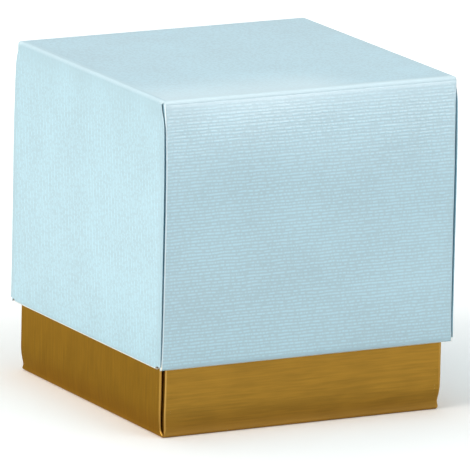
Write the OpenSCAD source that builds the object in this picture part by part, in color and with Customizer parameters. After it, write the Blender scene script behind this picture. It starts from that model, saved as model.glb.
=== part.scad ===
// Two-piece cube favor box, folded from two sheets of card.
// The base and the lid are the same kind of tray: a flat panel, four outer walls, four inner walls
// that roll over the rim, and four corner gussets that fold in behind the side walls.
// Millimetres, +Z up, the origin in the middle of the underside, the front towards -Y.

/* [Box] */
// Outside width of the lid, the same from left to right and from front to back
lid_w = 55; // [40:1:110]
// Height of the lid, from its rim to its top
lid_h = 45; // [25:1:100]
// Height of the base that shows below the rim of the lid
base_show = 11.8; // [5:0.2:40]

/* [Card] */
// Thickness of the card of both sheets
card_t = 0.22; // [0.2:0.01:0.45]
// Outer radius of the creases of the lid
lid_crease_r = 0.8; // [0.6:0.1:1.2]
// Outer radius of the creases of the base
base_crease_r = 0.6; // [0.5:0.1:1.2]

/* [Corners] */
// Width of the open slot at each corner
slot_w = 0.45; // [0.2:0.05:0.9]
// Distance from the outer face to where the slot has closed
slot_depth = 1.8; // [1.8:0.1:4]
// Reach of each gusset along its side wall
gusset_reach = 14; // [8:0.5:18]

/* [Fit] */
// Air between two layers of card that are pressed together
layer_gap = 0.03; // [0.03:0.01:0.12]
// Air between the outer and the inner wall at the front and the back
fold_gap = 0.6; // [0.1:0.05:0.9]
// Gap at the free edge of each inner wall
edge_gap = 0.2; // [0.1:0.05:1]
// Clearance between the lid and the base on each side
lid_clearance = 0.12; // [0.1:0.02:0.8]
// Height of the lid's top panel above the rim of the base
seat_gap = 0.1; // [0.05:0.05:0.5]

/* [Hidden] */
$fn = 48;

// A side wall turns back on itself at the corner, round two layers of card
nose_r = card_t + layer_gap / 2;
nose_w = 2 * nose_r;
// The front wall turns in on the far side of the slot
mouth_x = nose_w + slot_w;
// Behind the slot the second half of the gusset lies against the first half
rest_x = nose_w + layer_gap;

// Thickness of a side wall, which holds both halves of the gussets, and of a front or back wall
side_t = 4 * card_t + 3 * layer_gap;
front_t = 2 * card_t + fold_gap;

// How far the base stands in from the front and back faces of the lid
front_inset = front_t + lid_clearance;
// Slant of the lid's gusset where it draws in behind the slot, in X for each step in Y
gusset_slant = (mouth_x - rest_x) / (slot_depth - lid_crease_r);
// The round corner of the base clears that slant, and its side walls clear the lid's side walls
nose_reach = (nose_r + lid_clearance) * sqrt(1 + pow(gusset_slant, 2));
nose_drop = gusset_slant * (front_inset + nose_r - lid_crease_r);
side_inset = max(side_t + lid_clearance, mouth_x + card_t - nose_drop + nose_reach - nose_r);

total_h = lid_h + base_show;
base_h = total_h - card_t - seat_gap;
base_w = lid_w - 2 * side_inset;
base_d = lid_w - 2 * front_inset;

// A tray is its outside width, depth, height and crease radius
BASE = [base_w, base_d, base_h, base_crease_r];
LID = [lid_w, lid_w, lid_h, lid_crease_r];

GOLD = [0.70, 0.52, 0.22];
PALE_BLUE = [0.74, 0.87, 0.90];

// Outside sizes of a tray, by name
function width(tray) = tray[0];
function depth(tray) = tray[1];
function height(tray) = tray[2];
function crease(tray) = tray[3];

// Distance from the side face to where the front wall's flat begins, and to where its rim may begin
function front_start(tray) = mouth_x + crease(tray);
function rim_start(tray) = max(front_start(tray), side_t + layer_gap);

// A quarter ring in the corner of the first quadrant: the section of a crease
module quarter_ring(r) {
    translate([r, r]) intersection() {
        difference() {
            circle(r);
            circle(r - card_t);
        }
        translate([-r, -r]) square(r);
    }
}

// A half ring that stands on the line y = 0, with its left foot at x = 0: the section of a rolled rim
module half_ring(thickness) {
    r = thickness / 2;
    translate([r, 0]) intersection() {
        difference() {
            circle(r);
            circle(r - card_t);
        }
        translate([-r, 0]) square([thickness, r]);
    }
}

// Section of an outer wall below its rim, with the crease to the panel at its foot
module wall_section(tray, thickness) {
    r = crease(tray);
    quarter_ring(r);
    translate([0, r]) square([card_t, height(tray) - thickness / 2 - r]);
}

// Section of the rolled rim of a wall
module rim_section(tray, thickness) {
    translate([0, height(tray) - thickness / 2]) half_ring(thickness);
}

// Section of an inner wall, from its free edge to the rim
module inner_section(tray, thickness) {
    foot = crease(tray) + edge_gap;
    translate([thickness - card_t, foot]) square([card_t, height(tray) - thickness / 2 - foot]);
}

// Carries a section along the front wall, from a distance off one side face to the same off the other
module along_front(tray, start) {
    translate([start - width(tray) / 2, -depth(tray) / 2, 0])
        rotate([90, 0, 90]) linear_extrude(width(tray) - 2 * start) children();
}

// Carries a section along the left wall, from a distance off the back face to the same off the front
module along_left(tray, start) {
    translate([-width(tray) / 2, depth(tray) / 2 - start, 0])
        rotate([90, 0, 0]) linear_extrude(depth(tray) - 2 * start) children();
}

// The flat panel between the four creases
module panel(tray) {
    r = crease(tray);
    translate([r - width(tray) / 2, r - depth(tray) / 2, 0])
        cube([width(tray) - 2 * r, depth(tray) - 2 * r, card_t]);
}

module front_wall(tray) {
    along_front(tray, front_start(tray)) wall_section(tray, front_t);
    along_front(tray, rim_start(tray)) rim_section(tray, front_t);
}

module front_inner_wall(tray) {
    along_front(tray, rim_start(tray)) inner_section(tray, front_t);
}

module left_wall(tray) {
    along_left(tray, nose_r) {
        wall_section(tray, side_t);
        rim_section(tray, side_t);
    }
}

module left_inner_wall(tray) {
    along_left(tray, slot_depth + edge_gap) inner_section(tray, side_t);
}

// Plan of the two folds of a gusset that show at the corner, its origin at the corner's faces
module corner_folds(r) {
    translate([nose_w, nose_r]) rotate(180) half_ring(nose_w);
    translate([mouth_x, 0]) quarter_ring(r);
}

// Plan of the second half of a gusset, which crosses the slot and then lies against the first half
module second_half(r) {
    polygon([
        [mouth_x, r], [mouth_x + card_t, r],
        [rest_x + card_t, slot_depth], [rest_x + card_t, gusset_reach],
        [rest_x, gusset_reach], [rest_x, slot_depth]
    ]);
}

// Plan of a whole gusset above its diagonal fold
module gusset_plan(r) {
    corner_folds(r);
    translate([nose_w - card_t, nose_r]) square([card_t, gusset_reach - nose_r]);
    second_half(r);
}

// Plan of both halves with the space between them filled, which the diagonal fold spans
module gusset_filled(r) {
    polygon([
        [nose_w - card_t, r], [mouth_x + card_t, r],
        [rest_x + card_t, slot_depth], [rest_x + card_t, gusset_reach],
        [nose_w - card_t, gusset_reach]
    ]);
}

// The space in the corner of the first quadrant that the round of a crease leaves
module quarter_disc(r) {
    intersection() {
        translate([r, r]) circle(r);
        square(r);
    }
}

// Outline in Y and Z of what stands above the foot of the corner and above the diagonal fold
module above_fold(r, top) {
    quarter_disc(r);
    polygon([[0, r], [r, r], [gusset_reach, gusset_reach], [gusset_reach, top], [0, top]]);
}

// Outline in Y and Z of the diagonal fold itself
module fold_strip(r) {
    fold_h = card_t * sqrt(2);
    polygon([
        [r, r], [gusset_reach, gusset_reach],
        [gusset_reach, gusset_reach + fold_h], [r, r + fold_h]
    ]);
}

// Outline in X and Z of what stands above the foot of the corner
module above_foot(r, top) {
    quarter_disc(r);
    translate([0, r]) square([mouth_x + r, top - r]);
    translate([r, 0]) square([mouth_x, r]);
}

// Carries an outline in Y and Z across the corner in X
module across_corner(r) {
    rotate([90, 0, 90]) linear_extrude(mouth_x + r) children();
}

// A corner gusset, its origin at the outer corner of the panel
module gusset(tray) {
    r = crease(tray);
    top = height(tray) - side_t / 2 - layer_gap;
    intersection() {
        linear_extrude(top) gusset_plan(r);
        across_corner(r) above_fold(r, top);
        translate([0, gusset_reach, 0])
            rotate([90, 0, 0]) linear_extrude(gusset_reach) above_foot(r, top);
    }
    intersection() {
        linear_extrude(top) gusset_filled(r);
        across_corner(r) fold_strip(r);
    }
}

// The gusset of the front left corner of a tray
module front_left_gusset(tray) {
    translate([-width(tray) / 2, -depth(tray) / 2, 0]) gusset(tray);
}

module flip_x() {
    mirror([1, 0, 0]) children();
}

module flip_y() {
    mirror([0, 1, 0]) children();
}

// The lid is a tray turned over, with its panel on top
module turned_over() {
    translate([0, 0, total_h]) mirror([0, 0, 1]) children();
}

module base_floor() { color(GOLD) panel(BASE); }
module base_front_wall() { color(GOLD) front_wall(BASE); }
module base_back_wall() { flip_y() base_front_wall(); }
module base_left_wall() { color(GOLD) left_wall(BASE); }
module base_right_wall() { flip_x() base_left_wall(); }
module base_front_inner_wall() { color(GOLD) front_inner_wall(BASE); }
module base_back_inner_wall() { flip_y() base_front_inner_wall(); }
module base_left_inner_wall() { color(GOLD) left_inner_wall(BASE); }
module base_right_inner_wall() { flip_x() base_left_inner_wall(); }
module base_gusset_front_left() { color(GOLD) front_left_gusset(BASE); }
module base_gusset_front_right() { flip_x() base_gusset_front_left(); }
module base_gusset_back_left() { flip_y() base_gusset_front_left(); }
module base_gusset_back_right() { flip_x() base_gusset_back_left(); }

module lid_top() { color(PALE_BLUE) turned_over() panel(LID); }
module lid_front_wall() { color(PALE_BLUE) turned_over() front_wall(LID); }
module lid_back_wall() { flip_y() lid_front_wall(); }
module lid_left_wall() { color(PALE_BLUE) turned_over() left_wall(LID); }
module lid_right_wall() { flip_x() lid_left_wall(); }
module lid_front_inner_wall() { color(PALE_BLUE) turned_over() front_inner_wall(LID); }
module lid_back_inner_wall() { flip_y() lid_front_inner_wall(); }
module lid_left_inner_wall() { color(PALE_BLUE) turned_over() left_inner_wall(LID); }
module lid_right_inner_wall() { flip_x() lid_left_inner_wall(); }
module lid_gusset_front_left() { color(PALE_BLUE) turned_over() front_left_gusset(LID); }
module lid_gusset_front_right() { flip_x() lid_gusset_front_left(); }
module lid_gusset_back_left() { flip_y() lid_gusset_front_left(); }
module lid_gusset_back_right() { flip_x() lid_gusset_back_left(); }

base_floor();
base_front_wall();
base_back_wall();
base_left_wall();
base_right_wall();
base_front_inner_wall();
base_back_inner_wall();
base_left_inner_wall();
base_right_inner_wall();
base_gusset_front_left();
base_gusset_front_right();
base_gusset_back_left();
base_gusset_back_right();
lid_top();
lid_front_wall();
lid_back_wall();
lid_left_wall();
lid_right_wall();
lid_front_inner_wall();
lid_back_inner_wall();
lid_left_inner_wall();
lid_right_inner_wall();
lid_gusset_front_left();
lid_gusset_front_right();
lid_gusset_back_left();
lid_gusset_back_right();
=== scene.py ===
"""Looks of a two-piece cube favor box: a blue linen card lid over a gold foil card base.

Both halves are the same folded tray. A tray is a panel, four outer walls that roll over their rims
into four inner walls, and four corner webs that fold in behind the side walls. Sizes are in
millimetres until a mesh is made. A tray's own frame has the panel's outer face at height 0 and the
rim on top; the lid is the tray turned over. Every card piece carries a map named sheet, which is
its place on the flat sheet in millimetres, so that the embossing runs on round the folds.
"""

import logging  # noqa: E402
import math  # noqa: E402
from dataclasses import dataclass, field  # noqa: E402
from enum import Enum, IntEnum  # noqa: E402
from typing import TypeAlias  # noqa: E402

import bmesh  # noqa: E402
import bpy  # noqa: E402
import numpy as np  # noqa: E402
from mathutils import Matrix, Vector  # noqa: E402


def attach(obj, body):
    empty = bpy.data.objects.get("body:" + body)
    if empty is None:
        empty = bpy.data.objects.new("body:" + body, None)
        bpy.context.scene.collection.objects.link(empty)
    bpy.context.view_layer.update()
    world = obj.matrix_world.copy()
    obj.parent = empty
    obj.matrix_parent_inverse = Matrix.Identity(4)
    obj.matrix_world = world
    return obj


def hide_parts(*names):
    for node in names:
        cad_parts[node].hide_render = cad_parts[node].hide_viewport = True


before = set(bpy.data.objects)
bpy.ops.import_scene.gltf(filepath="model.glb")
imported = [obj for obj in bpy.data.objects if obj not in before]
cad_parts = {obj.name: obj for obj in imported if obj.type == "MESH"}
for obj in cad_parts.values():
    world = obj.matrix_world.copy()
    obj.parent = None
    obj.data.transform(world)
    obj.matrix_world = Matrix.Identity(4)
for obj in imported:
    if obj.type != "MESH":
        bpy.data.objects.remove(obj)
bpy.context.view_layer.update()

Colour = tuple[float, float, float, float]
Grids = tuple[np.ndarray, np.ndarray, np.ndarray, np.ndarray]
Value: TypeAlias = "Signal | float"

log = logging.getLogger("favor_box")
MM = 0.001
SHEET_MAP = "sheet"
# Name of the attribute of how far a fold is painted lighter: painted highlight, partly worn coating.
FOLD_HIGHLIGHT_AND_WEAR = "fold_highlight_and_wear"
PRESSED = "pressed"
SHARP_ANGLE = math.radians(40)
MERGE_DISTANCE = 1e-8
SHORTEST = 1e-6
OFFSET, POWER, SLOPE, KNEE = 0.055, 2.4, 12.92, 0.04045
BLACK = (0.0, 0.0, 0.0, 1.0)
WHITE = (1.0, 1.0, 1.0, 1.0)


def smoothstep(values: np.ndarray, low: np.ndarray | float, high: np.ndarray | float) -> np.ndarray:
    """Rises smoothly from 0 at low to 1 at high: t squared times 3 minus 2t.

    Args:
        values: Any array.
        low: Where the rise starts.
        high: Where the rise ends.

    Returns:
        An array of the same shape, from 0 to 1.
    """
    t = np.clip((values - low) / (high - low), 0, 1)
    return t * t * (3 - 2 * t)


def unit(x: np.ndarray, y: np.ndarray) -> tuple[np.ndarray, np.ndarray]:
    """Brings vectors in the plane to length 1."""
    span = np.maximum(np.hypot(x, y), SHORTEST)
    return x / span, y / span


def srgb(red: float, green: float, blue: float) -> Colour:
    """Turns a colour as it is seen on a screen into the linear colour of a shader.

    Args:
        red: From 0 to 255.
        green: From 0 to 255.
        blue: From 0 to 255.

    Returns:
        Linear red, green and blue, by the screen standard's curve, and an alpha of 1.
    """
    shares = (red / 255, green / 255, blue / 255)
    linear = [((c + OFFSET) / (1 + OFFSET)) ** POWER if c > KNEE else c / SLOPE for c in shares]
    return (*linear, 1.0)


def shaded(colour: Colour, share: float) -> Colour:
    """A colour times a share, at most white."""
    return (*(min(c * share, 1.0) for c in colour[:3]), 1.0)


def direction(azimuth: float, elevation: float) -> Vector:
    """The way out from the box at degrees round it, 0 in front, and degrees above the horizon."""
    az, el = math.radians(azimuth), math.radians(elevation)
    return Vector((math.sin(az) * math.cos(el), -math.cos(az) * math.cos(el), math.sin(el)))


def put_in_scene(name: str, data: bpy.types.ID) -> bpy.types.Object:
    """Makes an object of a mesh, a lamp or a camera, and links it to the scene."""
    made = bpy.data.objects.new(name, data)
    bpy.context.scene.collection.objects.link(made)
    return made


class Side(Enum):
    """The four sides of a tray, each the front side turned by quarter turns."""

    FRONT = 0
    RIGHT = 1
    BACK = 2
    LEFT = 3

    @property
    def word(self) -> str:
        """The side's name in a node's name."""
        return self.name.lower()

    @property
    def is_loose(self) -> bool:
        """True for the front and back walls, which are loosely rolled and hold no webs."""
        return self in (Side.FRONT, Side.BACK)

    def turn(self, xy: np.ndarray) -> np.ndarray:
        """Turns points of the front side to this side, about the upright axis."""
        angle = self.value * math.pi / 2
        c, s = round(math.cos(angle)), round(math.sin(angle))
        return np.stack([c * xy[..., 0] - s * xy[..., 1], s * xy[..., 0] + c * xy[..., 1]], -1)


class Corner(Enum):
    """The four corners of a tray, each the front left corner mirrored in X and in Y."""

    FRONT_LEFT = (1, 1)
    FRONT_RIGHT = (-1, 1)
    BACK_LEFT = (1, -1)
    BACK_RIGHT = (-1, -1)

    @property
    def word(self) -> str:
        """The corner's name in a node's name."""
        return self.name.lower()


class Face(Enum):
    """The faces of a card, by their place in a piece's list of materials."""

    PRINTED = 0
    REVERSE = 1
    CUT_EDGE = 2


class PathPart(IntEnum):
    """The parts of a corner web's path in plan, from the side wall's seam to the front wall's."""

    SIDE = 0
    NOSE = 1
    WEB_IN = 2
    WEB_BACK = 3
    SLANT = 4
    MOUTH = 5
    FRONT = 6


@dataclass
class CardPiece:
    """One piece of card as two matched grids of points, its printed face and its reverse.

    Attributes:
        outer: Points of the printed face, rows by columns by 3, in millimetres.
        inner: Points of the reverse face, matched to outer.
        sheet: Place on the flat sheet, rows by columns by 2, in millimetres.
        highlight_and_wear: How far a fold is painted lighter, 0 to 1, rows by columns: a painted
        highlight along the fold, partly its worn coating.
        pressed: How far a crease has flattened the embossing, 0 to 1, rows by columns.
    """

    outer: np.ndarray
    inner: np.ndarray
    sheet: np.ndarray
    highlight_and_wear: np.ndarray
    pressed: np.ndarray

    def faces(self) -> tuple[np.ndarray, np.ndarray]:
        """Joins the two grids into one closed skin.

        The printed face is the grid's own quads, the reverse is the same quads the other way
        round, and the cut edge is one quad for each step round the grid's outline. The order is
        turned where the cross product of the grid's two directions points into the card.

        Returns:
            The quads as rows of four point numbers, and the face of the card that each is on.
        """
        rows, columns = self.outer.shape[:2]
        count = rows * columns
        index = np.arange(count).reshape(rows, columns)
        front = np.stack([index[:-1, :-1], index[1:, :-1], index[1:, 1:], index[:-1, 1:]], -1).reshape(-1, 4)
        rim = np.concatenate([index[:-1, 0], index[-1, :-1], index[:0:-1, -1], index[0, :0:-1]])
        after = np.roll(rim, -1)
        edge = np.stack([after, rim, rim + count, after + count], -1)
        down = np.diff(self.outer, axis=0)[:, :-1]
        along = np.diff(self.outer, axis=1)[:-1]
        outward = (self.outer - self.inner)[:-1, :-1]
        back = front[:, ::-1] + count
        quads = np.concatenate([front, back, edge])
        if np.sum(np.cross(down, along) * outward) < 0:
            quads = quads[:, ::-1]
        kinds = np.repeat([Face.PRINTED.value, Face.REVERSE.value, Face.CUT_EDGE.value],
                          [len(front), len(back), len(edge)])
        return quads, kinds

    def mesh(self, name: str) -> bpy.types.Mesh:
        """Makes the closed mesh, in metres, with its sheet map and its two attributes.

        Args:
            name: Name of the mesh.

        Returns:
            The mesh, with poles merged and its cut edges sharp.
        """
        points = np.concatenate([self.outer.reshape(-1, 3), self.inner.reshape(-1, 3)]) * MM
        quads, kinds = self.faces()
        mesh = bpy.data.meshes.new(name)
        mesh.from_pydata(points.tolist(), [], quads.tolist())
        mesh.polygons.foreach_set("material_index", kinds.astype(np.int32))
        corner_points = np.empty(len(mesh.loops), np.int32)
        mesh.loops.foreach_get("vertex_index", corner_points)
        sheet = np.tile(self.sheet.reshape(-1, 2), (2, 1))[corner_points]
        mesh.uv_layers.new(name=SHEET_MAP).data.foreach_set("uv", sheet.astype(np.float32).ravel())
        for attribute, grid in ((FOLD_HIGHLIGHT_AND_WEAR, self.highlight_and_wear), (PRESSED, self.pressed)):
            values = np.tile(grid.ravel(), 2).astype(np.float32)
            mesh.attributes.new(attribute, "FLOAT", "POINT").data.foreach_set("value", values)
        shell = bmesh.new()
        shell.from_mesh(mesh)
        bmesh.ops.remove_doubles(shell, verts=shell.verts, dist=MERGE_DISTANCE)
        bmesh.ops.dissolve_degenerate(shell, edges=shell.edges, dist=MERGE_DISTANCE)
        shell.to_mesh(mesh)
        shell.free()
        mesh.polygons.foreach_set("use_smooth", np.ones(len(mesh.polygons), bool))
        mesh.set_sharp_from_angle(angle=SHARP_ANGLE)
        return mesh


@dataclass
class Profile:
    """A line across the card in a wall's section, from the panel outwards.

    Attributes:
        points: Distance in from the outer face and height above the panel, count by 2.
        normals: The way the printed face looks, matched to points.
        length: Distance along the line from the crease's start, in millimetres.
    """

    points: np.ndarray
    normals: np.ndarray
    length: np.ndarray

    def then(self, other: "Profile") -> "Profile":
        """Joins another line on, which starts where this one ends."""
        return Profile(
            np.concatenate([self.points, other.points[1:]]),
            np.concatenate([self.normals, other.normals[1:]]),
            np.concatenate([self.length, other.length[1:] - other.length[0] + self.length[-1]]),
        )

    @classmethod
    def straight(cls, start: tuple[float, float], end: tuple[float, float], steps: int,
                 normal: tuple[float, float], begin: float = 0.0) -> "Profile":
        """A straight line of even steps from start to end."""
        points = np.linspace(start, end, steps + 1)
        length = begin + np.linspace(0, math.dist(start, end), steps + 1)
        return cls(points, np.tile(np.array(normal, float), (steps + 1, 1)), length)

    @classmethod
    def arc(cls, centre: tuple[float, float], radius: float, start: float, end: float,
            steps: int) -> "Profile":
        """A piece of a circle: the centre plus the radius times the cosine and sine of the angle."""
        angle = np.radians(np.linspace(start, end, steps + 1))
        normals = np.stack([np.cos(angle), np.sin(angle)], -1)
        return cls(np.array(centre) + radius * normals, normals, radius * np.abs(angle - angle[0]))


@dataclass(frozen=True)
class Card:
    """The card that both halves are folded from, in millimetres."""

    thickness: float = 0.22
    layer_gap: float = 0.03
    fold_gap: float = 0.6
    edge_gap: float = 0.2
    slot_depth: float = 1.8
    gusset_reach: float = 14.0

    @property
    def web_x(self) -> float:
        """Distance from a side face to the far face of the web's first half, behind the wall."""
        return 2 * self.thickness + self.layer_gap

    @property
    def side_t(self) -> float:
        """Thickness of a left or right wall, which holds both halves of the webs."""
        return 4 * self.thickness + 3 * self.layer_gap

    @property
    def front_t(self) -> float:
        """Thickness of a front or back wall."""
        return 2 * self.thickness + self.fold_gap


@dataclass(frozen=True)
class CreaseHighlightAndWear:
    """How far a crease is painted lighter, as a bell across it.

    It is a painted highlight along the fold, partly its worn coating.

    Attributes:
        amount: How far the crest is painted lighter, 0 to 1.
        crest: Place of the crest, as a share of the crease's turn.
        spread: Length in which it falls by the factor e.
        rim: How far the rolled rim above is painted lighter, a painted highlight.
    """

    amount: float
    crest: float
    spread: float
    rim: float = 0.0

    def at(self, length: np.ndarray, turn: float) -> np.ndarray:
        """How far the card is painted lighter at a length along it.

        It is the amount times e to minus the square of spreads from the crest.
        """
        return self.amount * np.exp(-np.square((length - self.crest * turn) / self.spread))


LOOSE_CREASE = CreaseHighlightAndWear(0.5, 0.3, 1.2, 0.45)
FIRM_CREASE = CreaseHighlightAndWear(0.4, 0.4, 0.7, 1.0)
WEB_CREASE = CreaseHighlightAndWear(0.5, 0.4, 0.7)


@dataclass(frozen=True)
class CornerForm:
    """The form of a tray's corners, where the web opens to the front as a narrow slit.

    Attributes:
        nose_r: Half the thickness of the nose, the fold in which a side wall turns back on itself.
        nose_depth: Depth over which it curves at the rim, of which the panel has NOSE_SHARP.
        nose_highlight_and_wear: How far it is painted lighter, a painted highlight, partly worn coating.
        setback: How far it stands back from the front face at the panel.
        setback_end: Height at which it has come forward to its place at the rim.
        setback_rim: How far it stands back there.
        mouth_r: Radius of the mouth, the fold in which the front wall turns in across the slit.
        corner_r: Radius of the closed corner below the slit.
        mouth_heights: Heights at which the mouth's place is given.
        mouth_widths: Its distance from the side face at those heights.
        slit_start: Height at which the slit starts to open.
        slit_open: Height at which it is fully formed.
        slit: Least width of the slit.
        notch: How far below the rim the nose is cut off.
        side_notch: How far below the rim the side wall is cut off beside it.
        tip: How far below the rim the mouth ends.
        front_seam: Distance from the side face to the seam with the front wall.
        side_seam: Distance from the front face to the seam with the side wall.

    STEPS are the columns on each part of the path. RISES are the rows above the crease, as shares
    of the wall's height from and to, and rows between. RIM_PALING, the span in which the mouth turns
    lighter still, is measured down from the rim.
    """

    nose_r: float
    nose_depth: float
    nose_highlight_and_wear: float
    setback: float
    setback_end: float
    setback_rim: float
    mouth_r: float
    corner_r: float
    mouth_heights: tuple[float, ...]
    mouth_widths: tuple[float, ...]
    slit_start: float
    slit_open: float
    slit: float = 0.1
    notch: float = 0.7
    side_notch: float = 0.35
    tip: float = 0.06
    front_seam: float = 1.6
    side_seam: float = 1.75

    STEPS = (6, 24, 16, 6, 16, 12, 6)
    RISES = ((0.0, 0.12, 24), (0.12, 0.985, 60), (0.985, 1.0, 9))
    TIP_START = 0.6
    AJAR = 0.02
    SHUT_GAP = 0.02
    LEAST_WEB = 0.05
    SWEEP = 2.2
    NOSE_SHARP = 0.6
    NOSE_FILL = 0.85
    NOSE_HIGHLIGHT_PACE = 1.6
    MOUTH_HIGHLIGHT_AND_WEAR = 0.85
    MOUTH_FADE = 0.4
    RIM_PALING = (1.6, 0.4)

    def slit_sides(self, z: np.ndarray) -> tuple[np.ndarray, np.ndarray]:
        """Place of the mouth at each height, and half the nose's thickness, which leaves the slit open."""
        mouth = np.interp(z, self.mouth_heights, self.mouth_widths)
        return mouth, np.minimum(self.nose_r, (mouth - self.slit) / 2)


@dataclass(frozen=True)
class WebGrid:
    """The grid of a corner web, with heights in rows and places round its path in columns.

    For each column it has the part of the path, and for each point the share of that part that lies
    before it, the height, the sine of the crease's angle and the card's length up to it.
    """

    part: np.ndarray
    t: np.ndarray
    z: np.ndarray
    sine: np.ndarray
    up: np.ndarray

    def choose(self, *values: np.ndarray | float) -> np.ndarray:
        """Takes for each column the value of its part, in the order of the path."""
        return np.select([self.part == part for part in PathPart], values)


@dataclass(frozen=True)
class Relief:
    """How a tray's faces leave the true plane, always inwards, in millimetres.

    Attributes:
        shoulder: Depth of the front and back walls' soft shoulder at the crease.
        shoulder_length: Height over which that shoulder fades.
        draw_in: How far all walls draw in at the panel.
        draw_height: Height over which they come out again.
        bow: Depth of the slow waves of the outer walls, and of the panel's dish.
        edge_wear: How far the panel is painted lighter towards its front edge, 0 to 1, a painted sheen.
        phase: Where the waves start, so that the two halves differ.

    The bands are distances from a face and from a wall's end. Waves are angles for each millimetre,
    on the sides and on the front and back.
    """

    shoulder: float
    shoulder_length: float
    draw_in: float
    draw_height: float
    bow: float
    edge_wear: float
    phase: float

    FACE_BAND = (14.0, 1.5)
    END_BAND = (5.0, 1.0)
    WAVE_HEIGHTS = (0.0, 0.25, 0.72, 0.98)
    WAVES_ALONG = (0.21, 0.17)
    WAVES_UP = (0.13, 0.15)
    REACH_WAVE = (0.18, 0.11)
    DRAW_CURVE = 1.6
    # Reach of the painted sheen from the front edge, and from the middle towards the right.
    SHEEN_PATCH = (24.0, 18.0)


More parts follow.
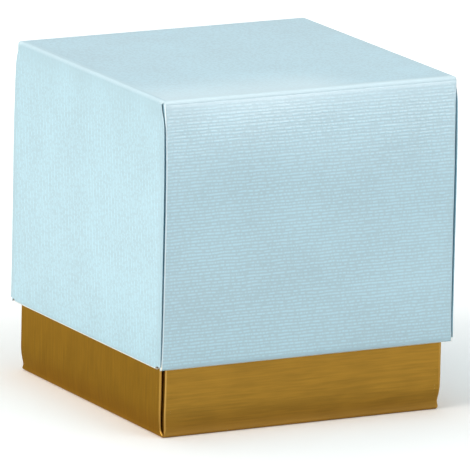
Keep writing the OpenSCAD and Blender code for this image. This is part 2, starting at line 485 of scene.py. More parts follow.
@dataclass
class Tray:
    """One half of the box, folded from one sheet.

    Attributes:
        name: Name of the half, of its body, and the start of its nodes' names.
        width: Outside size in X.
        depth: Outside size in Y.
        height: Outside height from the panel to the rim.
        crease_r: Outer radius of the crease between panel and walls.
        top_of: Height of the panel's outer face when the tray is turned over, or None.
        slot_name: The record's material slot; not used.
        panel_node: Name of the panel's node.
        corner: Form of the corners.
        relief: How the faces leave the true plane.
        materials: Printed, reverse and cut edge materials, in the order of Face.
        card: The card.

    A SPREAD or PRESS is the length in which a fold's painted highlight, partly worn coating, or its
    flattening falls by the factor e, and RIM_BLEND and RIM_PRESS the lengths in which they set in
    at a rim.
    """

    name: str
    width: float
    depth: float
    height: float
    crease_r: float
    top_of: float | None
    slot_name: str
    panel_node: str
    corner: CornerForm
    relief: Relief
    materials: list[bpy.types.Material]
    card: Card = field(default_factory=Card)

    LAP = 0.15
    INNER_CLEAR = 0.2
    RIM_BLEND, RIM_PRESS = 0.3, 0.6
    EDGE_WEAR, EDGE_SPREAD = 0.35, 0.5
    INNER_WEAR, INNER_SPREAD = 0.4, 0.4
    CREASE_PRESS, PANEL_PRESS, INNER_PRESS = 3.0, 1.2, 0.8
    WEB_PRESS = 0.35
    WALL_STEPS = 96
    ALONG_STEPS = 110
    PANEL_STEPS = 80
    INNER_STEPS = 24
    CREASE_STEPS = 14
    RIM_STEPS = 16

    @property
    def turn(self) -> float:
        """Length of the crease's quarter turn."""
        return self.crease_r * math.pi / 2

    def wall_t(self, side: Side) -> float:
        """Thickness of the wall on a side."""
        return self.card.front_t if side.is_loose else self.card.side_t

    def half(self, side: Side) -> tuple[float, float]:
        """Distance from the middle to a side's outer face, and half the length of that side."""
        return (self.depth / 2, self.width / 2) if side.is_loose else (self.width / 2, self.depth / 2)

    def relax(self, points: np.ndarray, outer_only: bool) -> np.ndarray:
        """Moves points inwards from the true planes, as folded card does.

        Near a face, the shift is the draw-in, which falls smoothly from the panel up. Outer walls
        add slow crossed sine waves that die out at the crease and the rim, and on the front and
        back the shoulder, a parabola that reaches 0 at a length that varies across the wall.

        Args:
            points: Points in the tray's own frame.
            outer_only: True for what belongs to the outer walls.

        Returns:
            The moved points.
        """
        flat, z, form = points[..., :2], points[..., 2:], self.relief
        half, size = np.array([self.width, self.depth]) / 2, np.abs(flat)
        near = smoothstep(size, *(half - band for band in form.FACE_BAND))
        inwards = form.draw_in * (1 - smoothstep(z, 0, form.draw_height)) ** form.DRAW_CURVE
        if outer_only:
            share = np.clip(z / self.height, 0, 1)
            low, full, fading, gone = form.WAVE_HEIGHTS
            window = smoothstep(share, low, full) * (1 - smoothstep(share, fading, gone))
            middle = 1 - smoothstep(size, *(half - band for band in form.END_BAND))
            along, up = form.phase * np.array([[1, 2], [1, -1]])
            wave = np.sin(flat[..., ::-1] * form.WAVES_ALONG + along) * np.cos(z * form.WAVES_UP + up)
            inwards = inwards + form.bow * window * (0.5 + 0.5 * wave) * middle[..., ::-1]
            swing, angle = form.REACH_WAVE
            reach = form.shoulder_length * (1 + swing * np.sin(flat[..., :1] * angle - form.phase))
            inwards = inwards + form.shoulder * np.clip(1 - z / reach, 0, 1) ** 2 * np.array([0, 1])
        return np.concatenate([flat - np.sign(flat) * near * inwards, z], -1)

    def placed(self, points: np.ndarray) -> np.ndarray:
        """Puts points of the tray's own frame into the part's frame, turned over for the lid."""
        if self.top_of is None:
            return points
        return points * np.array([1, 1, -1]) + np.array([0, 0, self.top_of])

    def finish_piece(self, node: str, piece: CardPiece) -> None:
        """Makes a piece's object, dresses it and lets it stand for its node.

        Args:
            node: The CAD node that the piece replaces, which also names it.
            piece: The piece in the tray's own frame, in millimetres.
        """
        piece.outer, piece.inner = self.placed(piece.outer), self.placed(piece.inner)
        mesh = piece.mesh(node + "_card")
        made = put_in_scene(node + "_card", mesh)
        for material in self.materials:
            mesh.materials.append(material)
        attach(made, self.name)
        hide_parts(node)
        log.info("%s stands for %s with %d faces", made.name, node, len(mesh.polygons))

    def panel(self) -> None:
        """Makes the flat panel between the creases.

        The printed face is the plane at height 0, dished by a few hundredths: the dish is the
        relief's bow times the squares of two cosines, each of half a turn across the panel.
        """
        r = self.crease_r + self.LAP
        x = np.linspace(r - self.width / 2, self.width / 2 - r, self.PANEL_STEPS + 1)
        y = np.linspace(r - self.depth / 2, self.depth / 2 - r, self.PANEL_STEPS + 1)
        gx, gy = np.meshgrid(x, y, indexing="ij")
        across, along = np.cos(gx * math.pi / self.width), np.cos(gy * math.pi / self.depth)
        dish = self.relief.bow * across ** 2 * along ** 2
        outer = self.relax(np.stack([gx, gy, np.zeros_like(gx)], -1), outer_only=True)
        outer[..., 2] = dish
        inner = outer + np.array([0, 0, self.card.thickness])
        edge = np.minimum(self.width / 2 - np.abs(gx), self.depth / 2 - np.abs(gy)) - self.crease_r
        # The panel is painted lighter along its creases, a painted highlight that is partly worn coating,
        # and towards its front edge, fading out to the right, a painted sheen.
        back, right = self.relief.SHEEN_PATCH
        front_edge = self.depth / 2 - self.crease_r + gy
        sheen_patch = (1 - smoothstep(front_edge, 0.0, back)) * (1 - smoothstep(gx, 0.0, right))
        highlight_and_wear = np.maximum(self.EDGE_WEAR * np.exp(-np.square(edge / self.EDGE_SPREAD)),
                          self.relief.edge_wear * sheen_patch)
        pressed = np.exp(-np.maximum(edge, 0) / self.PANEL_PRESS)
        self.finish_piece(self.panel_node, CardPiece(outer, inner, np.stack([gx, gy], -1), highlight_and_wear, pressed))

    def wall_profile(self, side: Side) -> Profile:
        """Section of an outer wall: a lap of panel, the crease, the flat and the rolled rim."""
        r, t, h = self.crease_r, self.wall_t(side), self.height
        lap = Profile.straight((r + self.LAP, 0), (r, 0), 1, (0, -1), -self.LAP)
        crease = Profile.arc((r, r), r, 270, 180, self.CREASE_STEPS)
        flat = Profile.straight((0, r), (0, h - t / 2), self.WALL_STEPS, (-1, 0))
        rim = Profile.arc((t / 2, h - t / 2), t / 2, 180, 0, self.RIM_STEPS)
        return lap.then(crease).then(flat).then(rim)

    def inner_profile(self, side: Side) -> Profile:
        """Section of an inner wall: straight down from the rim to its free edge."""
        t, foot = self.wall_t(side), self.crease_r + self.card.edge_gap
        return Profile.straight((t, self.height - t / 2), (t, foot), self.INNER_STEPS, (1, 0))

    def carry(self, side: Side, profile: Profile, start: float, steps: int,
              outer_only: bool) -> Grids:
        """Carries a section along a side, from start off one end to start off the other.

        Args:
            side: The side.
            profile: The section.
            start: Distance from the outer faces at the two ends.
            steps: Steps along the side.
            outer_only: Passed on to relax.

        Returns:
            Printed points, reverse points, distance along the side and the section's length, as
            grids with the section in rows.
        """
        away, reach = self.half(side)
        along = np.linspace(start - reach, reach - start, steps + 1)
        s, length = np.meshgrid(along, profile.length)
        faces = []
        for depth in (0.0, self.card.thickness):
            line = profile.points - depth * profile.normals
            xy = side.turn(np.stack([s, np.broadcast_to((line[:, 0] - away)[:, None], s.shape)], -1))
            z = np.broadcast_to(line[:, 1][:, None], s.shape)
            faces.append(self.relax(np.concatenate([xy, z[..., None]], -1), outer_only))
        return faces[0], faces[1], s, length

    def sheet_place(self, side: Side, s: np.ndarray, length: np.ndarray) -> np.ndarray:
        """Place on the flat sheet of points of a side, beyond the panel's edge by their length."""
        away, _ = self.half(side)
        return side.turn(np.stack([s, -(away - self.crease_r) - length], -1))

    def wall(self, side: Side) -> None:
        """Makes an outer wall with its crease and its rolled rim."""
        start = self.corner.front_seam if side.is_loose else self.corner.side_seam
        outer, inner, s, length = self.carry(side, self.wall_profile(side), start, self.ALONG_STEPS, True)
        flat_end = self.turn + self.height - self.wall_t(side) / 2 - self.crease_r
        # Crease and rolled rim are painted lighter towards the fold's highlight colour: a painted highlight,
        # partly worn coating.
        crease = LOOSE_CREASE if side.is_loose else FIRM_CREASE
        highlight_and_wear = crease.at(length, self.turn)
        highlight_and_wear = highlight_and_wear + crease.rim * smoothstep(length, flat_end, flat_end + self.RIM_BLEND)
        pressed = np.maximum(np.exp(-np.maximum(length - self.turn, 0) / self.CREASE_PRESS),
                             smoothstep(length, flat_end - self.RIM_PRESS, flat_end))
        piece = CardPiece(outer, inner, self.sheet_place(side, s, length), np.clip(highlight_and_wear, 0, 1), pressed)
        self.finish_piece(f"{self.name}_{side.word}_wall", piece)

    def inner_wall(self, side: Side) -> None:
        """Makes an inner wall, whose printed face looks into the tray."""
        if side.is_loose:
            start = max(self.corner.front_seam, self.card.side_t + self.card.layer_gap) + self.INNER_CLEAR
        else:
            start = self.card.slot_depth + self.card.edge_gap
        outer, inner, s, length = self.carry(side, self.inner_profile(side), start, self.INNER_STEPS, False)
        past = self.turn + self.height + self.wall_t(side) / 2
        # Just below the rim roll the inner wall is painted lighter: a painted highlight, partly worn
        # coating.
        highlight_and_wear = self.INNER_WEAR * np.exp(-length / self.INNER_SPREAD)
        pressed = np.exp(-length / self.INNER_PRESS)
        piece = CardPiece(outer, inner, self.sheet_place(side, s, length + past), highlight_and_wear, pressed)
        self.finish_piece(f"{self.name}_{side.word}_inner_wall", piece)

    def web_grid(self) -> WebGrid:
        """Lays out the grid of a corner web, whose columns end below the rim where the card is cut.

        Returns:
            The grid, with two rows on the panel's plane, one of which becomes the lap under it.
        """
        form, r = self.corner, self.crease_r
        part = np.repeat(list(PathPart), form.STEPS)
        t = np.concatenate([np.linspace(0, 1, n) for n in form.STEPS])
        cut = np.select(
            [part == PathPart.SIDE, part == PathPart.SLANT, part >= PathPart.MOUTH],
            [form.side_notch + (form.notch - form.side_notch) * t,
             form.notch + (form.tip - form.notch) * smoothstep(t, form.TIP_START, 1), form.tip], form.notch)
        angle = np.concatenate([[0.0], np.linspace(0, math.pi / 2, self.CREASE_STEPS + 1)])
        rise = np.concatenate([np.linspace(low, high, rows)[1:] for low, high, rows in form.RISES])
        crease_z = np.broadcast_to((r * (1 - np.cos(angle)))[:, None], (len(angle), len(t)))
        z = np.concatenate([crease_z, r + rise[:, None] * (self.height - cut - r)])
        sine = np.concatenate([np.sin(angle), np.ones(len(rise))])[:, None]
        angle = np.concatenate([angle, np.full(len(rise), math.pi / 2)])[:, None]
        return WebGrid(part, np.broadcast_to(t, z.shape), z, sine, r * angle + np.maximum(z - r, 0))

    def open_plan(self, grid: WebGrid) -> Grids:
        """The web's path in plan where the slit is open.

        It is the end of the side face; half an ellipse, the nose; the web's first half, which
        runs in to the diagonal fold and eases over to the wall's back; its second half, straight
        back; a curved slant out to the mouth; the mouth's quarter circle; and the start of the
        front face. The diagonal fold lies as deep as the height, up to the web's reach.

        Args:
            grid: The web's grid.

        Returns:
            X and Y from the corner of the outer faces, and the outward normal's X and Y.
        """
        form, card, z, t, r = self.corner, self.card, grid.z, grid.t, self.corner.mouth_r
        mouth, nose = form.slit_sides(z)
        long = form.nose_depth * (form.NOSE_SHARP + (1 - form.NOSE_SHARP) * z / self.height)
        start = form.setback + (form.setback_rim - form.setback) * smoothstep(z, 0, form.setback_end) + long
        depth = np.maximum(np.minimum(z, card.gusset_reach), start + form.LEAST_WEB)
        bend = np.minimum(card.slot_depth, depth)
        rest = card.web_x + card.layer_gap
        turn_out, turn_in = math.pi + math.pi * t, math.pi + math.pi / 2 * t
        web_y = start + (depth - start) * t ** form.SWEEP
        x = grid.choose(
            0.0, nose + nose * np.cos(turn_out),
            2 * nose + (card.web_x - 2 * nose) * smoothstep(web_y, start, bend), rest,
            rest + (mouth - rest) * (1 - (1 - t) ** form.SWEEP),
            mouth + r + r * np.cos(turn_in), mouth + r + (form.front_seam - mouth - r) * t)
        y = grid.choose(
            form.side_seam + (start - form.side_seam) * t, start + long * np.sin(turn_out), web_y,
            depth + (bend - depth) * t, bend + (r - bend) * t, r + r * np.sin(turn_in), 0.0)
        slope = (mouth - rest) * form.SWEEP * (1 - t) ** (form.SWEEP - 1)
        nx = grid.choose(-1.0, np.cos(turn_out) * long, 1.0, -1.0, r - bend, np.cos(turn_in), 0.0)
        ny = grid.choose(0.0, np.sin(turn_out) * nose, 0.0, 0.0, -slope, np.sin(turn_in), -1.0)
        return x, y, *unit(nx, ny)

    def shut_plan(self, grid: WebGrid) -> Grids:
        """The same path where the corner is closed: the side face, a quarter circle, the front face.

        Args:
            grid: The web's grid.

        Returns:
            What open_plan returns, with the hidden parts of the path in one point.
        """
        form, t, r = self.corner, grid.t, self.corner.corner_r
        seam = r + form.SHUT_GAP
        closing = math.pi + math.pi / 2 * np.clip(2 * t, 0, 1)
        cosine, sine = np.cos(closing), np.sin(closing)
        x = grid.choose(0.0, r + r * cosine + form.SHUT_GAP * np.clip(2 * t - 1, 0, 1), *[seam] * 4,
                        seam + (form.front_seam - seam) * t)
        y = grid.choose(form.side_seam + (r - form.side_seam) * t, r + r * sine, *[0.0] * 5)
        return x, y, grid.choose(-1.0, cosine, *[0.0] * 5), grid.choose(0.0, sine, *[-1.0] * 5)

    def corner_piece(self) -> CardPiece:
        """Works out the front left corner's web, with its origin at the outer faces.

        A point lies between its places in the shut and the open plan, by how far the slit has
        opened at its height. Below the crease's top it is drawn towards the panel's corner by the
        sine of the crease's angle, and near the rim it follows the roll of its wall.

        Returns:
            The web's two faces, place on the sheet, painted fold highlight, partly worn coating, and
            pressing.
        """
        form, card, r, grid = self.corner, self.card, self.crease_r, self.web_grid()
        part, t, z, sine, up = grid.part, grid.t, grid.z, grid.sine, grid.up
        opened = form.AJAR + (1 - form.AJAR) * smoothstep(z, form.slit_start, form.slit_open)
        plans = zip(self.shut_plan(grid), self.open_plan(grid))
        x, y, nx, ny = (shut + (wide - shut) * opened for shut, wide in plans)
        nx, ny = unit(nx, ny)

        inside = r + self.LAP * (np.arange(len(z)) == 0)[:, None]
        hidden = (part >= PathPart.WEB_IN) & (part <= PathPart.SLANT)
        pole_x = np.where(hidden, inside, np.maximum(x, inside))
        pole_y = np.where(hidden, inside, np.maximum(y, inside))
        x, y = pole_x + (x - pole_x) * sine, pole_y + (y - pole_y) * sine
        nz = np.broadcast_to(-np.sqrt(1 - sine ** 2), z.shape)

        on_front = part >= PathPart.MOUTH
        x = x + np.where(part <= PathPart.NOSE, self.roll_in(z, card.side_t), 0)
        y = y + np.where(on_front, self.roll_in(z, card.front_t), 0)
        folded = np.minimum(card.thickness, form.NOSE_FILL * form.slit_sides(z)[1])
        thick = np.where(on_front | (part == PathPart.SIDE), card.thickness, folded)
        outer = np.stack([x, y, z], -1)
        inner = outer - np.stack([nx * sine, ny * sine, nz], -1) * thick[..., None]

        steps = np.hypot(np.diff(x, axis=1), np.diff(y, axis=1))
        path = np.concatenate([np.zeros((len(z), 1)), np.cumsum(steps, axis=1)], 1)
        on_side = part <= PathPart.WEB_IN
        u = np.where(on_side, r - up, form.front_seam - (path[:, -1:] - path))
        v = np.where(on_side, form.side_seam - path, r - up)

        is_nose, is_mouth = part == PathPart.NOSE, part == PathPart.MOUTH
        # Creases, nose and mouth are painted lighter, a painted highlight that is partly worn coating;
        # towards the rim the mouth grows lighter still, up to the paper colour on the lid.
        crease = np.where(on_front, LOOSE_CREASE.at(up, self.turn), WEB_CREASE.at(up, self.turn))
        fold = np.select([is_nose, is_mouth], [
            form.nose_highlight_and_wear * np.sin(math.pi * np.clip(t * form.NOSE_HIGHLIGHT_PACE, 0, 1)),
            form.MOUTH_HIGHLIGHT_AND_WEAR * np.sin(math.pi * t) ** form.MOUTH_FADE], 0.0)
        paling_start, paling_end = (self.height - below for below in form.RIM_PALING)
        paling_to_rim = 1 + smoothstep(z, paling_start, paling_end) * on_front
        highlight_and_wear = np.clip(np.maximum(crease, opened * fold * paling_to_rim), 0, 1)
        pressed = np.maximum(np.exp(-np.maximum(up - self.turn, 0) / self.CREASE_PRESS),
                             np.where(is_nose | is_mouth, 1.0, self.WEB_PRESS))
        return CardPiece(outer, inner, np.stack([u, v], -1), highlight_and_wear, pressed)

    def roll_in(self, z: np.ndarray, thickness: float) -> np.ndarray:
        """How far a rolled rim of a thickness has curved in at each height: a circle's sagitta."""
        radius = thickness / 2
        over = np.clip(z - (self.height - radius), 0, radius)
        return radius - np.sqrt(np.maximum(radius ** 2 - over ** 2, 0))

    def gusset(self, corner: Corner) -> None:
        """Makes a corner web, mirrored from the front left corner."""
        piece = self.corner_piece()
        flip = np.array([*corner.value, 1])
        origin = np.array([-self.width / 2, -self.depth / 2, 0])
        piece.outer = self.relax((piece.outer + origin) * flip, outer_only=True)
        piece.inner = self.relax((piece.inner + origin) * flip, outer_only=True)
        piece.sheet = (piece.sheet + origin[:2]) * flip[:2]
        self.finish_piece(f"{self.name}_gusset_{corner.word}", piece)

    def build(self) -> None:
        """Makes every piece of the tray in order."""
        self.panel()
        for make, places in ((self.wall, Side), (self.inner_wall, Side), (self.gusset, Corner)):
            for place in places:
                make(place)
        log.info("%s is made", self.name)


class Signal:
    """A shader value: a socket with Python's operators, each of which adds one Math node."""

    def __init__(self, graph: "Graph", socket: bpy.types.NodeSocket) -> None:
        """Wraps a socket of a graph."""
        self.graph = graph
        self.socket = socket

    def maths(self, operation: str, *values: Value) -> "Signal":
        """Adds a Math node of an operation on the given values, in order."""
        node = self.graph.node("ShaderNodeMath", {"operation": operation}, dict(enumerate(values)))
        return self.graph.out(node)

    def __add__(self, other: Value) -> "Signal":
        """This plus other."""
        return self.maths("ADD", self, other)

    __radd__ = __add__

    def __mul__(self, other: Value) -> "Signal":
        """This times other."""
        return self.maths("MULTIPLY", self, other)

    __rmul__ = __mul__

    def __sub__(self, other: Value) -> "Signal":
        """This minus other."""
        return self.maths("SUBTRACT", self, other)

    def __rsub__(self, other: Value) -> "Signal":
        """Other minus this."""
        return self.maths("SUBTRACT", other, self)

    def __truediv__(self, other: Value) -> "Signal":
        """This divided by other."""
        return self.maths("DIVIDE", self, other)

    def floor(self) -> "Signal":
        """The whole number below this."""
        return self.maths("FLOOR", self)

    def wave(self) -> "Signal":
        """A ridge for each whole number: half less half the cosine of the full turn."""
        return 0.5 - self.maths("COSINE", self * math.tau) * 0.5

    def rising(self, low: float, high: float) -> "Signal":
        """Smooth rise from 0 at low to 1 at high."""
        return self.graph.out(self.graph.node(
            "ShaderNodeMapRange", {"interpolation_type": "SMOOTHSTEP"},
            {"Value": self, "From Min": low, "From Max": high}))


class Graph:
    """A node tree under construction."""

    def __init__(self, tree: bpy.types.NodeTree) -> None:
        """Starts an empty graph on a tree."""
        self.tree = tree
        tree.nodes.clear()

    def node(self, kind: str, settings: dict | None = None, inputs: dict | None = None) -> bpy.types.Node:
        """Adds a node.

        Args:
            kind: The node's type.
            settings: Properties that are set first.
            inputs: Values or links of its sockets, by name or place.

        Returns:
            The node.
        """
        node = self.tree.nodes.new(kind)
        for name, value in (settings or {}).items():
            setattr(node, name, value)
        for key, value in (inputs or {}).items():
            if isinstance(value, Signal):
                value = value.socket
            if isinstance(value, bpy.types.NodeSocket):
                self.tree.links.new(value, node.inputs[key])
            else:
                node.inputs[key].default_value = value
        return node

    def out(self, node: bpy.types.Node, key: str | int = 0) -> Signal:
        """An output of a node as a signal."""
        return Signal(self, node.outputs[key])

    def noise(self, x: Signal, y: Signal, z: float, detail: float) -> Signal:
        """Soft noise of about 0.5 at a place given in its own cells."""
        place = self.node("ShaderNodeCombineXYZ", {}, {"X": x, "Y": y, "Z": z}).outputs[0]
        return self.out(self.node("ShaderNodeTexNoise", {"noise_dimensions": "3D"}, {
            "Vector": place, "Scale": 1.0, "Detail": detail, "Roughness": 0.5}))

    def mixed(self, share: Signal, first: object, second: object) -> bpy.types.NodeSocket:
        """One colour, and another in proportion to share."""
        inputs = {"Factor": share, 6: first, 7: second}
        return self.node("ShaderNodeMix", {"data_type": "RGBA"}, inputs).outputs[2]

    def toned(self, share: Signal, colour: Colour, tones: tuple[float, float]) -> bpy.types.NodeSocket:
        """A colour between its darkest and its lightest tone, by share."""
        return self.mixed(share, *(shaded(colour, tone) for tone in tones))

    def bumped(self, height: Signal, distance: float) -> bpy.types.NodeSocket:
        """A normal that follows a height, of which 1 is a distance in metres."""
        inputs = {"Height": height, "Distance": distance, "Strength": 1.0}
        return self.node("ShaderNodeBump", {}, inputs).outputs[0]

    def surface(self, inputs: dict) -> None:
        """Adds the material's shader, with the given sockets, and its output."""
        shader = self.node("ShaderNodeBsdfPrincipled", {}, inputs)
        self.node("ShaderNodeOutputMaterial", {}, {"Surface": shader.outputs[0]})

    def sheet_place(self) -> tuple[Signal, Signal]:
        """The place on the flat sheet in millimetres, as two signals."""
        place = self.node("ShaderNodeUVMap", {"uv_map": SHEET_MAP})
        parts = self.node("ShaderNodeSeparateXYZ", {}, {0: place.outputs[0]})
        return self.out(parts, 0), self.out(parts, 1)

    def attribute(self, name: str) -> Signal:
        """A piece's own attribute."""
        return self.out(self.node("ShaderNodeAttribute", {"attribute_name": name}), "Fac")


@dataclass(frozen=True)
class Mottle:
    """Soft noise that lies on the flat sheet.

    It has the size of its cells both ways in millimetres, a seed that sets it apart from the others,
    and the number of finer sizes that are added.
    """

    u_cell: float
    v_cell: float
    seed: float
    detail: float = 2.0

    def on(self, u: Signal, v: Signal) -> Signal:
        """The noise at a place on the sheet."""
        return u.graph.noise(u / self.u_cell, v / self.v_cell, self.seed, self.detail)


def new_material(name: str) -> tuple[bpy.types.Material, Graph]:
    """Starts a material, and gives it with its empty graph."""
    material = bpy.data.materials.new(name)
    material.use_nodes = True
    return material, Graph(material.node_tree)


@dataclass(frozen=True)
class LinenCard:
    """Pale blue card, embossed like linen: fine ribs across the sheet, broken into dashes.

    Attributes:
        colour: Colour of the flats.
        fold_highlight_colour: Painted highlight colour of a fold, which also stands for its worn coating.
        paper_colour: Colour of the paper, painted where a fold is worn through and as
        the pale painted highlight along the rolled rims of the left and right walls.
        rib_pitch: Distance from rib to rib, in millimetres.
        dash_length: Usual length of a dash.
        emboss: Height of the embossing, in metres.
        roughness: Least roughness.
        gloss: Strength of the silky coating's gloss, where 0.5 is plain paper varnish.
        index: Refractive index of the coating.
    """

    colour: Colour = srgb(159, 204, 221)
    fold_highlight_colour: Colour = srgb(224, 242, 250)
    paper_colour: Colour = srgb(240, 240, 226)
    rib_pitch: float = 0.55
    dash_length: float = 0.5
    emboss: float = 0.0000065
    roughness: float = 0.287
    gloss: float = 1.0
    index: float = 1.8

    TONES, SHADE_RANGE, BARE_RANGE = (0.82, 1.16), (0.1, 0.9), (0.88, 1.0)
    WARP, WARP_WIDTH = Mottle(3.0, 2.0, 3.1), 0.36
    SLOW, SLOW_SHARE = Mottle(14.0, 11.0, 2.0), 0.45
    ROW_STEP, DASH_RANGE = 7.31, (0.36, 0.6)
    DASH_HEIGHT, PAIR_HEIGHT, RIB_HEIGHT, FLATTENED = 0.7, 0.15, 0.3, 0.7
    SLOW_ROUGH, GAP_ROUGH, WEAR_ROUGH = 0.02, 0.015, 0.15

    def build(self) -> bpy.types.Material:
        """Makes the material.

        A rib is half less half a cosine across the sheet, slightly warped by slow noise. Each row
        of ribs has its own noise along it, which breaks it into dashes.

        Returns:
            The material.
        """
        material, g = new_material("blue_linen_card")
        u, v = g.sheet_place()
        pressed, highlight_and_wear = g.attribute(PRESSED), g.attribute(FOLD_HIGHLIGHT_AND_WEAR)
        ribs = (v + (self.WARP.on(u, v) - 0.5) * self.WARP_WIDTH) / self.rib_pitch
        row = ribs.floor()
        dash = g.noise(u / self.dash_length, row * self.ROW_STEP, 0.0, 1.0).rising(*self.DASH_RANGE)
        pair = (row * 0.5).wave()
        height = ribs.wave() * (dash * self.DASH_HEIGHT + pair * self.PAIR_HEIGHT + self.RIB_HEIGHT)
        height = height * (1.0 - pressed * self.FLATTENED)
        slow = self.SLOW.on(u, v)
        # The base colour is darker where the embossing is low and lighter on its ribs, painted shade and
        # highlight, mixed with slow random tone.
        shade = (height * (1.0 - self.SLOW_SHARE) + slow * self.SLOW_SHARE).rising(*self.SHADE_RANGE)
        # Folds are painted towards the highlight colour, and past the top of that range towards the paper
        # colour: painted highlight, partly worn coating.
        colour = g.mixed(highlight_and_wear.rising(0.0, 1.0), g.toned(shade, self.colour, self.TONES), self.fold_highlight_colour)
        g.surface({
            "Base Color": g.mixed(highlight_and_wear.rising(*self.BARE_RANGE), colour, self.paper_colour),
            "Roughness": (slow * self.SLOW_ROUGH + (1.0 - dash) * self.GAP_ROUGH + highlight_and_wear * self.WEAR_ROUGH
                          + self.roughness),
            "Normal": g.bumped(height, self.emboss), "IOR": self.index, "Specular IOR Level": self.gloss})
        return material


@dataclass(frozen=True)
class FoilCard:
    """Gold foil card with a fine brushed grain along the sheet.

    Attributes:
        colour: Colour of the foil.
        fold_highlight_colour: Painted highlight colour of a fold, which also stands for its worn foil.
        grain: Height of the grain, in metres.
        roughness: Least roughness.
        coat: Weight of the clear lacquer.
        coat_rough: Roughness of the lacquer.
        edge_tint: Tint of what the foil mirrors at a glancing angle.
    """

    colour: Colour = srgb(139, 103, 34)
    fold_highlight_colour: Colour = srgb(196, 156, 84)
    grain: float = 0.000006
    roughness: float = 0.28
    coat: float = 0.12
    coat_rough: float = 0.3
    edge_tint: Colour = (0.75, 0.55, 0.2, 1.0)

    TONES, SHADE_RANGE, FOLD_SHARE = (0.84, 1.13), (0.32, 0.68), 0.7
    FINE, FINE_SHARE, BROAD = Mottle(6.0, 0.3, 1.0, 3.0), 0.6, Mottle(16.0, 0.6, 4.0)
    SLOW, SLOW_SHARE, BUCKLE = Mottle(7.0, 4.0, 8.0), 0.25, 6.0
    GRAIN_ROUGH, SLOW_ROUGH = 0.12, 0.08

    def build(self) -> bpy.types.Material:
        """Makes the material.

        The grain is noise drawn out twenty and more times longer along the sheet than across it,
        in two sizes. Slow noise varies the tone and bends the reflection a little.

        Returns:
            The material.
        """
        material, g = new_material("gold_foil_card")
        u, v = g.sheet_place()
        highlight_and_wear, slow = g.attribute(FOLD_HIGHLIGHT_AND_WEAR), self.SLOW.on(u, v)
        grain = self.FINE.on(u, v) * self.FINE_SHARE + self.BROAD.on(u, v) * (1.0 - self.FINE_SHARE)
        shade = (grain * (1.0 - self.SLOW_SHARE) + slow * self.SLOW_SHARE).rising(*self.SHADE_RANGE)
        foil = g.toned(shade, self.colour, self.TONES)
        # Folds are painted towards the highlight colour: painted highlight, partly worn foil.
        g.surface({
            "Base Color": g.mixed(highlight_and_wear * self.FOLD_SHARE, foil, self.fold_highlight_colour), "Metallic": 1.0,
            "Roughness": grain * self.GRAIN_ROUGH + slow * self.SLOW_ROUGH + self.roughness,
            "Normal": g.bumped(grain + slow * self.BUCKLE, self.grain), "Coat Weight": self.coat,
            "Coat Roughness": self.coat_rough, "Specular Tint": self.edge_tint})
        return material


@dataclass(frozen=True)
class BareCard:
    """Uncoated card: the white reverse of a sheet, or the cream core that shows on a cut edge.

    Attributes:
        name: Name of the material.
        colour: Colour of the fibres.
        fibre: Height of the fibres, in metres.
    """

    name: str
    colour: Colour
    fibre: float = 0.000006

    TONES, SHADE_RANGE = (0.94, 1.0), (0.3, 0.7)
    FINE, SLOW = Mottle(0.3, 0.3, 1.0, 3.0), Mottle(9.0, 9.0, 6.0)
    ROUGHNESS, FIBRE_ROUGH = 0.8, 0.1

    def build(self) -> bpy.types.Material:
        """Makes the material: matt, mottled by two sizes of noise on the sheet's place.

        Returns:
            The material.
        """
        material, g = new_material(self.name)
        u, v = g.sheet_place()
        fine = self.FINE.on(u, v)
        shade = (fine * 0.5 + self.SLOW.on(u, v) * 0.5).rising(*self.SHADE_RANGE)
        g.surface({
            "Base Color": g.toned(shade, self.colour, self.TONES),
            "Roughness": fine * self.FIBRE_ROUGH + self.ROUGHNESS, "Normal": g.bumped(fine, self.fibre)})
        return material


@dataclass(frozen=True)
class Viewpoint:
    """The photograph's camera, in lid widths and degrees, about a target above the origin.

    Attributes:
        azimuth: Angle round the box, 0 in front.
        elevation: Angle above the horizon.
        roll: Turn about the line of sight.
        distance: Distance to the target.
        focal: Focal length in pixels.
        aside: Shift along the camera's right.
        above: Shift along the camera's up.
        unit: Width of the lid in metres.
        frame_px: Width of the frame in pixels.
        sensor: Sensor width in millimetres.
    """

    azimuth: float = -28.1
    elevation: float = 12.8
    roll: float = 1.28
    distance: float = 26.4
    focal: float = 8680.0
    aside: float = 0.0089
    above: float = -0.0162
    unit: float = 0.055
    frame_px: float = 470.0
    sensor: float = 36.0

    def build(self) -> None:
        """Makes the camera and sets it as the scene's."""
        az, roll = math.radians(self.azimuth), math.radians(self.roll)
        back = direction(self.azimuth, self.elevation)
        level = Vector((math.cos(az), math.sin(az), 0))
        upright = back.cross(level)
        right = level * math.cos(roll) + upright * math.sin(roll)
        up = upright * math.cos(roll) - level * math.sin(roll)
        target = Vector((0, 0, self.unit / 2))
        place = target + (back * self.distance + right * self.aside + up * self.above) * self.unit
        data = bpy.data.cameras.new("camera")
        data.sensor_width = self.sensor
        data.lens = self.focal / self.frame_px * self.sensor
        camera = put_in_scene("camera", data)
        turn = Matrix((right, up, back)).transposed()
        camera.matrix_world = Matrix.Translation(place) @ turn.to_4x4()
        bpy.context.scene.camera = camera


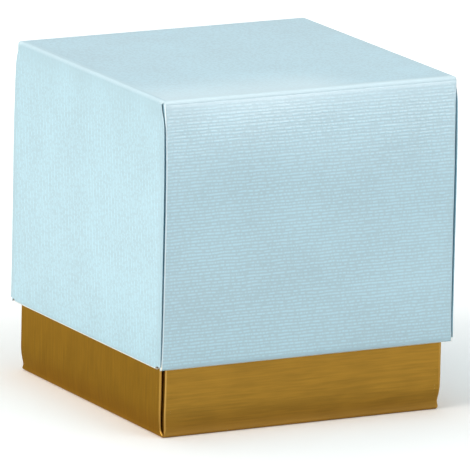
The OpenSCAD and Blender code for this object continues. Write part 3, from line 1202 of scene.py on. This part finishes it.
@dataclass(frozen=True)
class Lamp:
    """A soft square lamp that faces the box.

    Attributes:
        name: Its name.
        azimuth: Angle round the box.
        elevation: Angle above the horizon.
        distance: Distance in metres.
        size: Width in metres.
        level: Light on a surface that faces it, where 1 makes white paper white.
        tint: Its colour.
    """

    name: str
    azimuth: float
    elevation: float
    distance: float
    size: float
    level: float
    tint: tuple[float, float, float]

    def build(self, middle: Vector) -> None:
        """Makes the lamp, turned to a point.

        Args:
            middle: The point that it faces.
        """
        towards = direction(self.azimuth, self.elevation)
        data = bpy.data.lights.new(self.name, "AREA")
        data.shape = "SQUARE"
        data.size = self.size
        data.energy = self.level * (math.pi * self.distance) ** 2
        data.color = self.tint
        lamp = put_in_scene(self.name, data)
        lamp.location = middle + towards * self.distance
        lamp.rotation_mode = "QUATERNION"
        lamp.rotation_quaternion = towards.to_track_quat("Z", "Y")
        log.info("%s is on", self.name)


@dataclass(frozen=True)
class Studio:
    """A plain pale floor under a white sky, with soft lamps.

    Attributes:
        sky: Colour of the sky's light.
        sky_level: Strength of the sky's light.
        floor_seen: Colour of the floor to the camera.
        floor_lit: Colour of the floor to everything else.
        floor_glow: Extra light of the floor to the camera at the box, so that it reaches white.
        far_glow: The same farther off, where the lamps are weaker.
        glow_start: Distance in metres at which it starts to rise to that.
        glow_end: Distance at which it has risen.
        floor_size: Half width of the floor in metres.
        aim: Height in metres of the point that the lamps face.
        lamps: The lamps.
    """

    sky: Colour = (0.93, 0.97, 1.0, 1.0)
    sky_level: float = 0.08
    floor_seen: Colour = (0.97, 0.97, 0.97, 1.0)
    floor_lit: Colour = (0.8, 0.8, 0.8, 1.0)
    floor_glow: float = 0.125
    far_glow: float = 0.5
    glow_start: float = 0.04
    glow_end: float = 0.12
    floor_size: float = 4.0
    aim: float = 0.028
    lamps: tuple[Lamp, ...] = (
        Lamp("overhead_lamp", 0, 89, 0.9, 1.1, 0.535, (0.95, 1.03, 1.0)),
        Lamp("back_lamp", -160, 68, 0.8, 0.8, 0.235, (0.97, 1.0, 1.02)),
        Lamp("left_lamp", -80, 18, 0.9, 0.4, 0.71, (1.08, 0.985, 0.90)),
        Lamp("front_lamp", 28, 4.5, 1.3, 0.18, 0.128, (0.97, 1.0, 1.02)),
        Lamp("high_lamp", 28, 48, 0.35, 0.22, 0.175, (0.99, 1.0, 1.01)),
    )

    @staticmethod
    def shown(graph: Graph) -> Signal:
        """1 to the camera and in mirrors and glass, which show the same background, else 0."""
        path = graph.node("ShaderNodeLightPath")
        camera = graph.out(path, "Is Camera Ray")
        mirrored = camera.maths("MAXIMUM", camera, graph.out(path, "Is Glossy Ray"))
        return camera.maths("MAXIMUM", mirrored, graph.out(path, "Is Transmission Ray"))

    def sky_world(self) -> None:
        """Makes the sky: white to the camera, its own colour and strength to the scene."""
        world = bpy.data.worlds.new("studio_sky")
        world.use_nodes = True
        g = Graph(world.node_tree)
        seen = self.shown(g)
        light = g.node("ShaderNodeBackground", {}, {
            "Color": g.mixed(seen, self.sky, WHITE),
            "Strength": seen * (1.0 - self.sky_level) + self.sky_level})
        g.node("ShaderNodeOutputWorld", {}, {"Surface": light.outputs[0]})
        bpy.context.scene.world = world

    def floor(self) -> None:
        """Makes the floor, which the camera sees white and which keeps the box's shadow."""
        half = self.floor_size
        corners = [(-half, -half, 0), (half, -half, 0), (half, half, 0), (-half, half, 0)]
        mesh = bpy.data.meshes.new("floor")
        mesh.from_pydata(corners, [], [(0, 1, 2, 3)])
        made = put_in_scene("floor", mesh)
        material, g = new_material("floor_paper")
        seen = self.shown(g)
        place = g.node("ShaderNodeTexCoord").outputs["Object"]
        away = g.out(g.node("ShaderNodeVectorMath", {"operation": "LENGTH"}, {0: place}), "Value")
        far = away.rising(self.glow_start, self.glow_end)
        glow = far * (self.far_glow - self.floor_glow) + self.floor_glow
        g.surface({
            "Base Color": g.mixed(seen, self.floor_lit, self.floor_seen), "Roughness": 1.0,
            "Specular IOR Level": 0.0, "Emission Color": g.mixed(seen * glow, BLACK, WHITE),
            "Emission Strength": 1.0})
        mesh.materials.append(material)

    def build(self) -> None:
        """Makes the sky, the floor and the lamps."""
        bpy.context.scene.view_settings.view_transform = "Standard"
        self.sky_world()
        self.floor()
        for lamp in self.lamps:
            lamp.build(Vector((0, 0, self.aim)))


LID_CORNER = CornerForm(
    nose_r=0.16, nose_depth=1.2, nose_highlight_and_wear=0.0, setback=0.85, setback_end=4.5, setback_rim=0.0,
    mouth_r=0.2, corner_r=0.16,
    mouth_heights=(0.0, 0.8, 2.0, 5.0, 10.0, 24.0, 40.0, 43.0, 44.7, 45.0),
    mouth_widths=(0.3, 0.3, 0.34, 0.5, 0.56, 0.56, 0.46, 0.36, 0.26, 0.24),
    slit_start=0.0, slit_open=0.7,
)
BASE_CORNER = CornerForm(
    nose_r=0.27, nose_depth=0.4, nose_highlight_and_wear=0.6, setback=0.8, setback_end=1.0, setback_rim=0.8,
    mouth_r=0.25, corner_r=0.3,
    mouth_heights=(0.0, 0.6, 2.0, 5.0, 9.0, 57.0),
    mouth_widths=(0.46, 0.46, 0.52, 0.6, 0.66, 0.66),
    slit_start=0.2, slit_open=1.4,
)
LID_RELIEF = Relief(shoulder=0.68, shoulder_length=17.0, draw_in=0.0, draw_height=1.0, bow=0.06,
                    edge_wear=0.45, phase=0.7)
BASE_RELIEF = Relief(shoulder=0.0, shoulder_length=1.0, draw_in=0.45, draw_height=5.0, bow=0.05,
                     edge_wear=0.0, phase=2.1)


@dataclass
class FavorBox:
    """The whole box: a gold base tray and a blue lid tray turned over it.

    Attributes:
        lid_w: Outside width of the lid.
        lid_h: Height of the lid.
        lid_crease_r: Outer radius of the lid's creases.
        base_w: Outside width of the base.
        base_d: Outside depth of the base.
        base_h: Height of the base.
        base_crease_r: Outer radius of the base's creases.
        total_h: Height of the closed box.
        reverse_colour: Colour of the unprinted side.
        core_colour: Colour of a cut edge.
    """

    lid_w: float = 55.0
    lid_h: float = 45.0
    lid_crease_r: float = 0.8
    base_w: float = 52.82
    base_d: float = 52.68
    base_h: float = 56.48
    base_crease_r: float = 0.6
    total_h: float = 56.8
    reverse_colour: Colour = srgb(238, 237, 232)
    core_colour: Colour = srgb(240, 236, 222)

    def build(self) -> None:
        """Makes the finishes and both trays."""
        linen, foil = LinenCard().build(), FoilCard().build()
        bare = [BareCard("white_reverse", self.reverse_colour).build(),
                BareCard("card_core", self.core_colour).build()]
        base = Tray("base", self.base_w, self.base_d, self.base_h, self.base_crease_r, None,
                    "gold_foil_card", "base_floor", BASE_CORNER, BASE_RELIEF, [foil, *bare])
        lid = Tray("lid", self.lid_w, self.lid_w, self.lid_h, self.lid_crease_r, self.total_h,
                   "blue_linen_card", "lid_top", LID_CORNER, LID_RELIEF, [linen, *bare])
        for tray in (base, lid):
            tray.build()


def main() -> None:
    """Builds the box, the studio and the camera."""
    logging.basicConfig(level=logging.INFO, format="%(name)s: %(message)s")
    FavorBox().build()
    Studio().build()
    Viewpoint().build()


if __name__ == "__main__":
    main()
